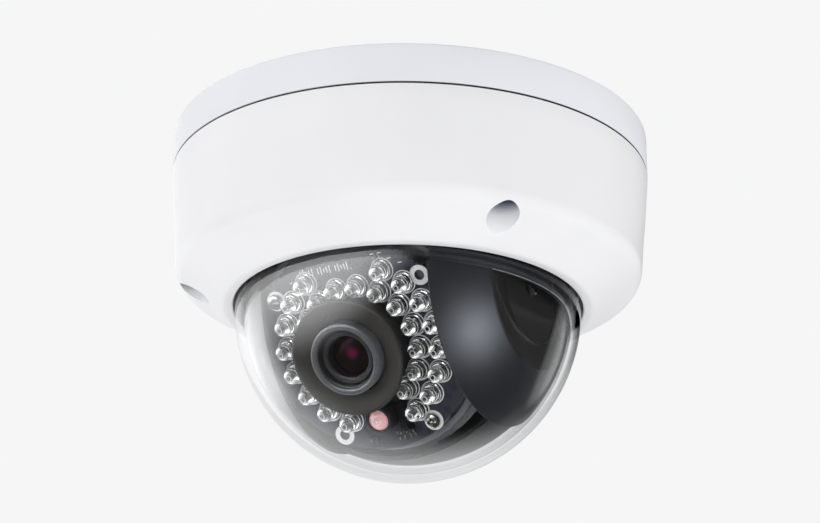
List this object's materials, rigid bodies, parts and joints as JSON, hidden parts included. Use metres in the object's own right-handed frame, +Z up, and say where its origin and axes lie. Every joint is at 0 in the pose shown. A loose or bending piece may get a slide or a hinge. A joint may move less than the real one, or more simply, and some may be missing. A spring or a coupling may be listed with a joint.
{
  "type": "dome cctv camera",
  "caption": "Ceiling dome security camera: white cast shell, clear dome, and an infra-red camera module on pan, tilt and rotation pivots.",
  "frame": {"origin": "centre of the flat mounting face of the base", "axes": "+Z up into the ceiling along the camera's round axis; the dome hangs to -Z; the front, with the first screw recess a little to its right, faces -Y"},
  "size_m": [0.111, 0.111, 0.0824],
  "materials": {
    "white_paint": "satin powder coat",
    "black_rubber": "matte",
    "screw_steel": "bright",
    "clear_plastic": "clear gloss polycarbonate",
    "black_plastic": "fine spark texture",
    "grey_plastic": "satin",
    "zinc_plate": "zinc plated",
    "circuit_green": "solder mask",
    "circuit_black": "black solder mask with white print",
    "led_clear": "clear epoxy",
    "photocell_red": "gloss",
    "shade_plastic": "matte",
    "barrel_metal": "dark anodised",
    "lens_glass": "coated optical glass"
  },
  "bodies": {
    "housing": {"mounting_base": "white_paint", "cable_grommet": "black_rubber", "base_gasket": "black_rubber", "dome_cover": "white_paint", "cover_screw_1": "screw_steel", "cover_screw_2": "screw_steel", "cover_screw_3": "screw_steel", "clear_dome": "clear_plastic", "dome_seal": "black_rubber", "dome_clamp_ring": "zinc_plate", "chassis_plate": "zinc_plate", "main_board": "circuit_green"},
    "pan_stage": {"pan_turntable": "black_plastic", "pan_retainer": "black_plastic", "side_shell_left": "black_plastic", "side_shell_right": "black_plastic", "tilt_screw_left": "screw_steel", "tilt_screw_right": "screw_steel"},
    "tilt_stage": {"tilt_frame": "grey_plastic", "eyeball_shell": "black_plastic"},
    "camera_module": {"board_tray": "grey_plastic", "led_board": "circuit_black", "ir_led_01": "led_clear", "ir_led_02": "led_clear", "ir_led_03": "led_clear", "ir_led_04": "led_clear", "ir_led_05": "led_clear", "ir_led_06": "led_clear", "ir_led_07": "led_clear", "ir_led_08": "led_clear", "ir_led_09": "led_clear", "ir_led_10": "led_clear", "ir_led_11": "led_clear", "ir_led_12": "led_clear", "ir_led_13": "led_clear", "ir_led_14": "led_clear", "ir_led_15": "led_clear", "ir_led_16": "led_clear", "ir_led_17": "led_clear", "ir_led_18": "led_clear", "ir_led_19": "led_clear", "ir_led_20": "led_clear", "ir_led_21": "led_clear", "ir_led_22": "led_clear", "ir_led_23": "led_clear", "ir_led_24": "led_clear", "ir_led_25": "led_clear", "ir_led_26": "led_clear", "ir_led_27": "led_clear", "ir_led_28": "led_clear", "ir_led_29": "led_clear", "ir_led_30": "led_clear", "photocell_holder": "black_plastic", "photocell_window": "photocell_red", "lens_shade": "shade_plastic", "lens_barrel": "barrel_metal", "front_lens": "lens_glass", "sensor_board": "circuit_green", "board_screw_1": "screw_steel", "board_screw_2": "screw_steel"}
  },
  "joints": [
    {"name": "pan", "type": "hinge", "parent": "housing", "child": "pan_stage", "pos_m": [0, 0, -0.0423], "axis": [0, 0, 1], "range_deg": [-150, 205]},
    {"name": "tilt", "type": "hinge", "parent": "pan_stage", "child": "tilt_stage", "pos_m": [0, 0, -0.0423], "axis": [0.8746, -0.4848, 0], "range_deg": [-37, 37.7]},
    {"name": "rotation", "type": "hinge", "parent": "tilt_stage", "child": "camera_module", "pos_m": [0, 0, -0.0423], "axis": [-0.3857, -0.6957, -0.606], "range_deg": [-177.5, 177.5]}
  ]
}
